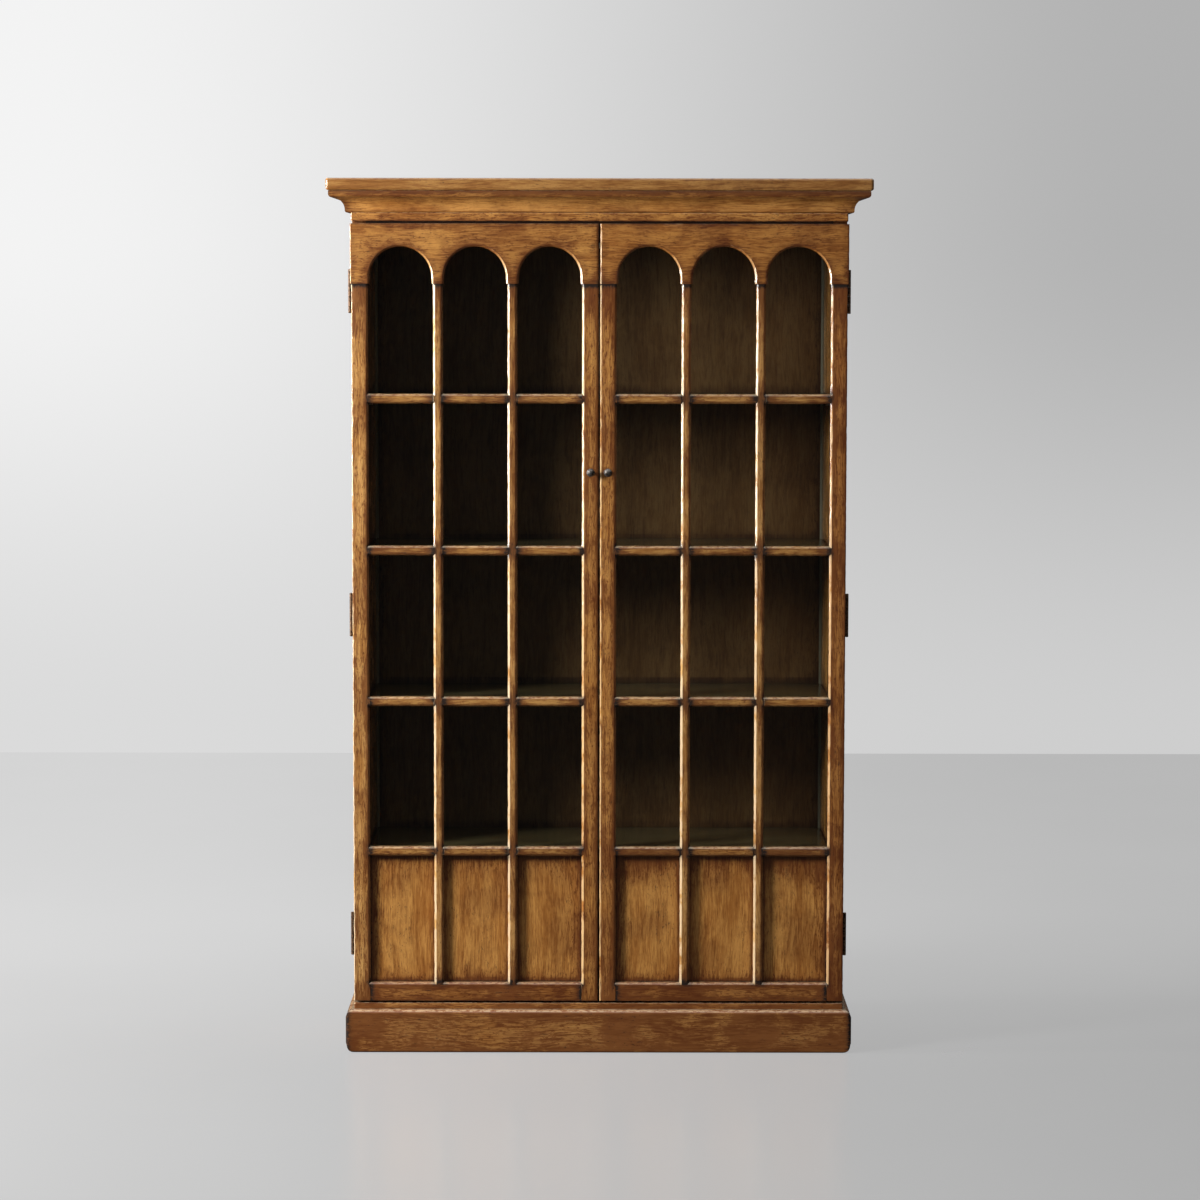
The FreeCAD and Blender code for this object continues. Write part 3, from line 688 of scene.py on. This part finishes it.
def softened_mesh(node, pitch):
    """The node's mesh with softened arrises and even faces, and its worn edges and joints."""
    timber = bpy.context.scene.cabinet_timber
    bm = bmesh.new()
    bm.from_mesh(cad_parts[node].data)
    bmesh.ops.remove_doubles(bm, verts=bm.verts, dist=WELD)
    bmesh.ops.dissolve_limit(bm, angle_limit=FLAT, verts=bm.verts, edges=bm.edges)
    bm.normal_update()
    arrises, rounds, joints = edge_kinds(bm)
    worn = arrises + (rounds if "stile" in node or "arch_rail" in node else [])
    lines = [[tuple(np.array(v.co) for v in edge.verts) for edge in kind]
             for kind in (worn, joints)]
    bmesh.ops.bevel(bm, geom=arrises, offset=timber.arris, offset_type="OFFSET", segments=2,
                    profile=0.5, affect="EDGES", clamp_overlap=True)
    low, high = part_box(node)
    for axis in range(3):
        length = high[axis] - low[axis]
        count = int(length / pitch)
        places = [low[axis] + length * (turn + 1) / (count + 1) for turn in range(count)]
        cut_across(bm, list(bm.faces), axis, places)
    if node.startswith("plinth"):
        lines[1] += [tuple(np.array((side * high.x, low.y, z)) for z in (0, high.z))
                     for side in (-1, 1)]
    mesh = bpy.data.meshes.new(node + "_shape")
    bm.to_mesh(mesh)
    bm.free()
    return mesh, lines


def timber_shape(node, pitch):
    """The node's softened mesh, with what its wear and its finish depend on."""
    mesh, (worn, joints) = softened_mesh(node, pitch)
    places = values_of(mesh.vertices, "co", 3)
    corners, owner, normals, areas, centres = face_arrays(mesh)
    hidden = np.array([is_covered(Vector(c), Vector(n)) for c, n in zip(centres, normals)])
    weight = np.where(hidden, 1e-6, 1.0) * areas
    outward = np.zeros_like(places)
    np.add.at(outward, corners, normals[owner] * weight[owner][:, None])
    outward /= np.maximum(np.linalg.norm(outward, axis=1), 1e-12)[:, None]
    seen = np.zeros(len(places), bool)
    seen[corners[~hidden[owner]]] = True
    # How open each seen point is; the timber shader paints shade where it is shut in.
    open_air = np.ones(len(places))
    open_air[seen] = sky(places[seen], outward[seen])
    edge = np.exp(-distances(places, worn) / SOFT_EDGE)
    far = distances(places, joints)
    finish = np.stack([edge, open_air, np.exp(-far / JOINT_REACH), np.exp(-far / KNOT_REACH)], 1)
    return {"mesh": mesh, "finish": finish, "outward": outward, "hidden": hidden}


def corner_normals(mesh, hidden):
    """Smooth normals that lean to the larger open faces and break at creases."""
    corners, owner, normals, areas, _ = face_arrays(mesh)
    weight = np.where(hidden, 1e-9, 1.0) * areas
    order = np.argsort(corners, kind="stable")
    vertex = corners[order]
    starts = np.searchsorted(vertex, np.arange(len(mesh.vertices)))
    ends = np.searchsorted(vertex, np.arange(len(mesh.vertices)), side="right")
    first = starts[corners]
    count = (ends - starts)[corners]
    own = normals[owner]
    total = np.zeros((len(corners), 3))
    for turn in range(int(count.max())):
        use = turn < count
        other = owner[order[np.minimum(first + turn, len(order) - 1)]]
        near = use & ((own * normals[other]).sum(1) > CREASE)
        total += np.where(near, weight[other], 0.0)[:, None] * normals[other]
    length = np.linalg.norm(total, axis=1)
    return np.where(length[:, None] > 1e-15, total / np.maximum(length, 1e-15)[:, None], own)


def round_off(places, box):
    """Rubs the plinth's ends round, as seen from the front."""
    low, high = box
    for radius, end, side in ((PLINTH_FOOT_ROUND, low.z, -1), (PLINTH_TOP_ROUND, high.z, 1)):
        over = np.abs(places[:, 0]) - (high.x - radius)
        past = side * (places[:, 2] - end) + radius
        far = np.hypot(over, past)
        use = (over > 0) & (past > 0) & (far > radius)
        share = radius / far[use]
        places[use, 0] = np.sign(places[use, 0]) * (high.x - radius + over[use] * share)
        places[use, 2] = end + side * (past[use] * share - radius)


def worn_depths(places, finish):
    """How far each point is worn back: nicks along the edges and shallow hollows everywhere."""
    timber = bpy.context.scene.cabinet_timber
    depths = np.empty(len(places))
    for index, (place, edge, joint) in enumerate(zip(places, finish[:, 0], finish[:, 2])):
        point = Vector(place)
        nick = max(0.0, noise.noise(point * NICKS) + 0.5 * noise.noise(point * FINE_NICKS))
        swell = 0.5 + 0.5 * noise.noise(point * HOLLOWS)
        depths[index] = (1 - joint) * (timber.wear * edge * (0.18 + 1.2 * nick)
                                       + timber.ripple * swell)
    return depths


def worn_timber(node, grain, finish, body, pitch):
    """Builds the worn piece for a CAD node; a left one mirrors the right one's shape."""
    model = node.replace("left", "right")
    if model not in shapes:
        shapes[model] = timber_shape(model, pitch)
    shape = shapes[model]
    mesh = shape["mesh"].copy()
    mesh.name = node + "_worn"
    places = values_of(mesh.vertices, "co", 3)
    outward = shape["outward"].copy()
    if model != node:
        places[:, 0] *= -1
        outward[:, 0] *= -1
        mesh.flip_normals()
    places -= outward * worn_depths(places, shape["finish"])[:, None]
    if node.startswith("plinth"):
        round_off(places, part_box("plinth_front"))
    mesh.vertices.foreach_set("co", places.ravel())
    mesh.update()
    colours = mesh.color_attributes.new("finish", "FLOAT_COLOR", "POINT")
    colours.data.foreach_set("color", shape["finish"].astype(np.float32).ravel())
    mesh.polygons.foreach_set("use_smooth", np.ones(len(mesh.polygons), bool))
    mesh.normals_split_custom_set(corner_normals(mesh, shape["hidden"]).astype(np.float32))
    mesh.materials.clear()
    mesh.materials.append(timber_material(finish, grain))
    piece = bpy.data.objects.new(node + "_worn", mesh)
    bpy.context.scene.collection.objects.link(piece)
    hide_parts(node)
    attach(piece, body)
    return piece


def build_timber(*nodes):
    """Worn pieces for the case's timber nodes given."""
    for node in nodes:
        grain, finish, pitch = TIMBER[node]
        worn_timber(node, grain, finish, "case", pitch)


# Geometry Nodes for screws and nails

def fastener_tree():
    """Slotted heads on every point of the mesh, each turned at random about the way it faces."""
    tree = bpy.data.node_groups.new("fastener_heads", "GeometryNodeTree")
    socket = tree.interface.new_socket
    socket("Geometry", in_out="INPUT", socket_type="NodeSocketGeometry")
    for name, default in (("Head Radius", 0.003), ("Head Height", 0.0003), ("Slot Width", 0.0008)):
        size = socket(name, in_out="INPUT", socket_type="NodeSocketFloat")
        size.default_value = default
        size.subtype = "DISTANCE"
    socket("Facing", in_out="INPUT", socket_type="NodeSocketVector")
    socket("Seed", in_out="INPUT", socket_type="NodeSocketInt")
    socket("Material", in_out="INPUT", socket_type="NodeSocketMaterial")
    socket("Geometry", in_out="OUTPUT", socket_type="NodeSocketGeometry")
    given = put(tree, "NodeGroupInput").outputs
    disc = put(tree, "GeometryNodeMeshCylinder", {
        "Vertices": 20, "Radius": given["Head Radius"], "Depth": given["Head Height"]})
    slot_length = put(tree, "ShaderNodeMath", {0: given["Head Radius"], 1: 3.0},
                      operation="MULTIPLY")
    slot_size = put(tree, "ShaderNodeCombineXYZ", {
        "X": slot_length.outputs[0], "Y": given["Slot Width"], "Z": slot_length.outputs[0]})
    slot = put(tree, "GeometryNodeMeshCube", {"Size": slot_size.outputs[0]})
    head = put(tree, "GeometryNodeMeshBoolean", operation="DIFFERENCE")
    tree.links.new(disc.outputs["Mesh"], head.inputs["Mesh 1"])
    tree.links.new(slot.outputs["Mesh"], head.inputs["Mesh 2"])
    spin = put(tree, "FunctionNodeRandomValue", {"Seed": given["Seed"]}, data_type="FLOAT")
    spin.inputs[3].default_value = math.pi
    turn = put(tree, "ShaderNodeCombineXYZ", {"Z": spin.outputs[1]})
    facing = put(tree, "FunctionNodeAlignRotationToVector", {"Vector": given["Facing"]}, axis="Z")
    spun = put(tree, "FunctionNodeRotateRotation", rotation_space="LOCAL")
    tree.links.new(facing.outputs[0], spun.inputs[0])
    tree.links.new(turn.outputs[0], spun.inputs[1])
    heads = put(tree, "GeometryNodeInstanceOnPoints", {"Points": given["Geometry"]})
    tree.links.new(head.outputs["Mesh"], heads.inputs["Instance"])
    tree.links.new(spun.outputs[0], heads.inputs["Rotation"])
    real = put(tree, "GeometryNodeRealizeInstances", {"Geometry": heads.outputs["Instances"]})
    painted = put(tree, "GeometryNodeSetMaterial", {
        "Geometry": real.outputs[0], "Material": given["Material"]})
    put(tree, "NodeGroupOutput", {"Geometry": painted.outputs[0]})
    return tree


def fasteners(name, places, body, slot, **inputs):
    """Heads at the places given, as one plain mesh that rides on the body."""
    mesh = bpy.data.meshes.new(name + "_places")
    mesh.from_pydata(places, [], [])
    seed = bpy.data.objects.new(name + "_places", mesh)
    bpy.context.scene.collection.objects.link(seed)
    modifier = seed.modifiers.new("heads", "NODES")
    tree = bpy.data.node_groups.get("fastener_heads") or fastener_tree()
    modifier.node_group = tree
    for item in tree.interface.items_tree:
        field = item.name.lower().replace(" ", "_")
        if item.in_out == "INPUT" and field in inputs:
            modifier[item.identifier] = inputs[field]
    graph = bpy.context.evaluated_depsgraph_get()
    made = bpy.data.meshes.new_from_object(seed.evaluated_get(graph))
    made.name = name
    bpy.data.objects.remove(seed)
    piece = bpy.data.objects.new(name, made)
    bpy.context.scene.collection.objects.link(piece)
    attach(piece, body)


# Operators

class CABINET_OT_base(bpy.types.Operator):
    """Build the plinth boards and the sill board"""
    bl_idname = "cabinet.base"
    bl_label = "Plinth and sill"

    def execute(self, context):
        build_timber("plinth_front", "plinth_right", "plinth_left", "sill_board")
        return {"FINISHED"}


class CABINET_OT_case(bpy.types.Operator):
    """Build the sides, the band over the doors, the back panels and the hidden boards"""
    bl_idname = "cabinet.case"
    bl_label = "Case"

    def execute(self, context):
        build_timber("right_side", "left_side", "frieze_band", "back_panel_right",
                     "back_panel_left", "bottom_board")
        for node, grain in HIDDEN_TIMBER.items():
            dress(node, timber_material("inside", grain))
        dress("back_corner_beads", bead_material())
        return {"FINISHED"}


class CABINET_OT_cornice(bpy.types.Operator):
    """Build the cornice mouldings and the slab on top"""
    bl_idname = "cabinet.cornice"
    bl_label = "Cornice"

    def execute(self, context):
        build_timber("cornice_front", "cornice_right", "cornice_left", "cornice_slab")
        return {"FINISHED"}


class CABINET_OT_shelves(bpy.types.Operator):
    """Build the four shelves and finish their pins"""
    bl_idname = "cabinet.shelves"
    bl_label = "Shelves"

    def execute(self, context):
        build_timber(*(f"shelf_{row}" for row in ROWS))
        dress("shelf_pins", metal_material("dull_steel"))
        return {"FINISHED"}


class CABINET_OT_doors(bpy.types.Operator):
    """Build the stiles, rails, bars and panels of both doors"""
    bl_idname = "cabinet.doors"
    bl_label = "Doors"

    def execute(self, context):
        pitch = context.scene.cabinet_timber.pitch
        for side in ("right", "left"):
            for part, (grain, finish) in DOOR_TIMBER.items():
                node = f"{side}_{part}"
                worn_timber(node, grain, SHADED_RIGHT.get(node, finish), side + "_door", pitch)
        return {"FINISHED"}


class CABINET_OT_glass(bpy.types.Operator):
    """Finish the glass of both doors"""
    bl_idname = "cabinet.glass"
    bl_label = "Glass"

    def execute(self, context):
        glass = glass_material()
        for side in ("right", "left"):
            dress(side + "_glass", glass)
        return {"FINISHED"}


class CABINET_OT_hinges(bpy.types.Operator):
    """Finish the hinges and set their screws"""
    bl_idname = "cabinet.hinges"
    bl_label = "Hinges"

    def execute(self, context):
        iron = metal_material("blackened_iron")
        for node in ("case_hinge_leaves", "hinge_pins", "right_hinge_leaves", "left_hinge_leaves"):
            dress(node, iron)
        look = {"head_radius": context.scene.cabinet_metal.screw_radius, "material": iron,
                "head_height": SCREW_HEIGHT}
        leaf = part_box("right_hinge_leaves")[1].y
        for side, sign in (("right", 1), ("left", -1)):
            fasteners(side + "_door_screws", screw_places(sign, leaf), side + "_door",
                      "hinge_iron", facing=(0, 1, 0), seed=3, **look)
        front, back = (corner.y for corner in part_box("hinge_pins"))
        leaf = front + back - leaf      # a case leaf mirrors a door leaf about the pins
        fasteners("case_hinge_screws", screw_places(1, leaf) + screw_places(-1, leaf), "case",
                  "hinge_iron", facing=(0, -1, 0), seed=5, **look)
        return {"FINISHED"}


def leaf_centres():
    """Heights of the hinges' middles, read from the pins."""
    heights = sorted({round(v.co.z, 4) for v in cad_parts["hinge_pins"].data.vertices})
    groups = [[heights[0]]]
    for height in heights[1:]:
        if height - groups[-1][-1] > HINGE_GAP:
            groups.append([])
        groups[-1].append(height)
    return [(group[0] + group[-1]) / 2 for group in groups]


def screw_places(sign, face):
    """Four staggered screws to a leaf, on one side of the cabinet."""
    return [(sign * SCREW_COLUMNS[turn % 2], face, centre + rise)
            for centre in leaf_centres()
            for turn, rise in enumerate(SCREW_RISES)]


class CABINET_OT_knobs(bpy.types.Operator):
    """Finish the knobs, the catch and its strike plates"""
    bl_idname = "cabinet.knobs"
    bl_label = "Knobs and catch"

    def execute(self, context):
        for node in ("right_knob", "left_knob"):
            dress(node, metal_material("dark_bronze"))
        for node in ("catch", "right_strike_plate", "left_strike_plate"):
            dress(node, metal_material("dull_steel"))
        return {"FINISHED"}


class CABINET_OT_nails(bpy.types.Operator):
    """Set the nails that hold the back panels"""
    bl_idname = "cabinet.nails"
    bl_label = "Back nails"

    def execute(self, context):
        low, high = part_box("back_panel_right")
        foot, top = low.z + NAIL_END, high.z - NAIL_END
        places = []
        for row in range(NAIL_ROWS):
            height = foot + (top - foot) * row / (NAIL_ROWS - 1)
            places += [(side * (high.x - NAIL_INSET), high.y, height) for side in (-1, 1)]
        for column in range(1, NAIL_COLUMNS + 1):
            x = high.x * column / (NAIL_COLUMNS + 1)
            places += [(side * x, high.y, height) for side in (-1, 1)
                       for height in (low.z + NAIL_MARGIN, high.z - NAIL_MARGIN)]
        fasteners("back_nails", places, "case", "fittings_steel", facing=(0, 1, 0), seed=7,
                  head_radius=context.scene.cabinet_metal.nail_radius, head_height=NAIL_HEIGHT,
                  slot_width=0.0, material=metal_material("dull_steel"))
        return {"FINISHED"}


def area_light(name, power):
    """Hangs one of the rectangular lights, which the camera doesn't see."""
    place, aim, size = LAMPS[name]
    lamp = bpy.data.lights.new(name + "_light", "AREA")
    lamp.shape = "RECTANGLE"
    lamp.size, lamp.size_y = size
    lamp.energy = power
    thing = bpy.data.objects.new(name + "_light", lamp)
    thing.location = place
    thing.rotation_euler = (Vector(aim) - Vector(place)).to_track_quat("-Z", "Y").to_euler()
    thing.visible_camera = False
    bpy.context.scene.collection.objects.link(thing)


class CABINET_OT_stage(bpy.types.Operator):
    """Lay the floor, hang the lights and place the camera"""
    bl_idname = "cabinet.stage"
    bl_label = "Stage"

    def execute(self, context):
        stage = context.scene.cabinet_stage
        context.scene.view_settings.view_transform = "Standard"
        self.lay_floor(stage)
        for name in LAMPS:
            area_light(name, getattr(stage, name))
        self.light_air(stage)
        self.place_camera(stage)
        return {"FINISHED"}

    def lay_floor(self, stage):
        """A pale floor that glows a little, brighter at the left and at the back."""
        mesh = bpy.data.meshes.new("studio_floor")
        corners = [(-7, -7, 0), (7, -7, 0), (7, 5.44, 0), (-7, 5.44, 0)]
        mesh.from_pydata(corners, [], [(0, 1, 2, 3)])
        floor = bpy.data.objects.new("studio_floor", mesh)
        bpy.context.scene.collection.objects.link(floor)
        floor.visible_glossy = False
        floor.visible_diffuse = False
        material, tree, output = new_material("studio_floor")
        place = put(tree, "ShaderNodeTexCoord").outputs["Object"]
        smear = noise_at(tree, place, 1.6, 3.0, 0.5)
        across = parts_of(tree, place)
        shader = put(tree, "ShaderNodeBsdfPrincipled", {
            "Base Color": blended(tree, smear, rgba(stage.floor, 0.98), rgba(stage.floor, 1.02)),
            "Roughness": ramp(tree, smear, 0.0, 1.0, 0.20, 0.30, smooth=False),
            "Emission Color": blended(tree, step(tree, across["X"], -2.2, 2.2),
                                      grey(0.62), grey(0.44)),
            "Emission Strength": ramp(tree, across["Y"], 1.8, -0.6, 1.0, 0.79),
            "Specular IOR Level": 0.3})
        tree.links.new(shader.outputs[0], output.inputs["Surface"])
        mesh.materials.append(material)

    def light_air(self, stage):
        """Light from high above, a dim room for reflections and a pale wall for the camera."""
        world = bpy.data.worlds.new("studio_air")
        bpy.context.scene.world = world
        world.use_nodes = True
        tree = world.node_tree
        tree.nodes.clear()
        aim = parts_of(tree, put(tree, "ShaderNodeTexCoord").outputs["Generated"])

        def background(colour, strength=1.0):
            return put(tree, "ShaderNodeBackground", {
                "Color": colour, "Strength": strength}).outputs[0]

        wall = blended(tree, step(tree, aim["X"], -0.17, 0.17), grey(0.90), grey(0.44))
        low = times(tree, step(tree, aim["Z"], 0.02, -0.125), 0.8)
        seen = background(blended(tree, low, wall, grey(0.66)))
        felt = background(grey(1.0), ramp(tree, aim["Z"], 0.3, 0.9, stage.ambient,
                                          stage.overhead))
        mirrored = background(grey(1.0), ramp(tree, aim["Z"], 0.45, 0.8, stage.mirrored,
                                              stage.gleam))
        kinds = put(tree, "ShaderNodeLightPath").outputs
        mix = put(tree, "ShaderNodeMixShader", {
            0: kinds["Is Glossy Ray"], 1: felt, 2: mirrored}).outputs[0]
        mix = put(tree, "ShaderNodeMixShader", {
            0: kinds["Is Camera Ray"], 1: mix, 2: seen}).outputs[0]
        put(tree, "ShaderNodeOutputWorld", {"Surface": mix})

    def place_camera(self, stage):
        """The photograph's point of view."""
        lens = bpy.data.cameras.new("eye")
        lens.sensor_width = 36
        lens.lens = FOCAL_LENGTH
        lens.clip_end = 100
        eye = bpy.data.objects.new("eye", lens)
        eye.location = (EYE_X, -stage.eye_distance, stage.eye_height)
        eye.rotation_euler = Euler((math.pi / 2 - EYE_DOWN, EYE_ROLL, 0), "XYZ")
        bpy.context.scene.collection.objects.link(eye)
        bpy.context.scene.camera = eye


class CABINET_PT_sidebar(bpy.types.Panel):
    """The cabinet's build steps and settings"""
    bl_idname = "CABINET_PT_sidebar"
    bl_label = "Display cabinet"
    bl_space_type = "VIEW_3D"
    bl_region_type = "UI"
    bl_category = "Cabinet"

    def draw(self, context):
        for step_class in STEPS:
            self.layout.operator(step_class.bl_idname)
        for group in ("cabinet_timber", "cabinet_metal", "cabinet_stage"):
            box = self.layout.box()
            settings = getattr(context.scene, group)
            for name in settings.__annotations__:
                box.prop(settings, name)


GROUPS = {
    "cabinet_timber": TimberSettings,
    "cabinet_metal": MetalSettings,
    "cabinet_stage": StageSettings,
}
STEPS = [
    CABINET_OT_stage,
    CABINET_OT_base,
    CABINET_OT_case,
    CABINET_OT_cornice,
    CABINET_OT_shelves,
    CABINET_OT_doors,
    CABINET_OT_glass,
    CABINET_OT_hinges,
    CABINET_OT_knobs,
    CABINET_OT_nails,
]


def register():
    for name, group in GROUPS.items():
        bpy.utils.register_class(group)
        setattr(bpy.types.Scene, name, bpy.props.PointerProperty(type=group))
    for each in [*STEPS, CABINET_PT_sidebar]:
        bpy.utils.register_class(each)


def unregister():
    for each in reversed([*STEPS, CABINET_PT_sidebar]):
        bpy.utils.unregister_class(each)
    for name, group in reversed(GROUPS.items()):
        delattr(bpy.types.Scene, name)
        bpy.utils.unregister_class(group)


def main():
    """Dresses the whole cabinet."""
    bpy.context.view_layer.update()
    register()
    build = bpy.ops.cabinet
    build.stage()
    build.base()
    build.case()
    build.cornice()
    build.shelves()
    build.doors()
    build.glass()
    build.hinges()
    build.knobs()
    build.nails()


if __name__ == "__main__":
    main()
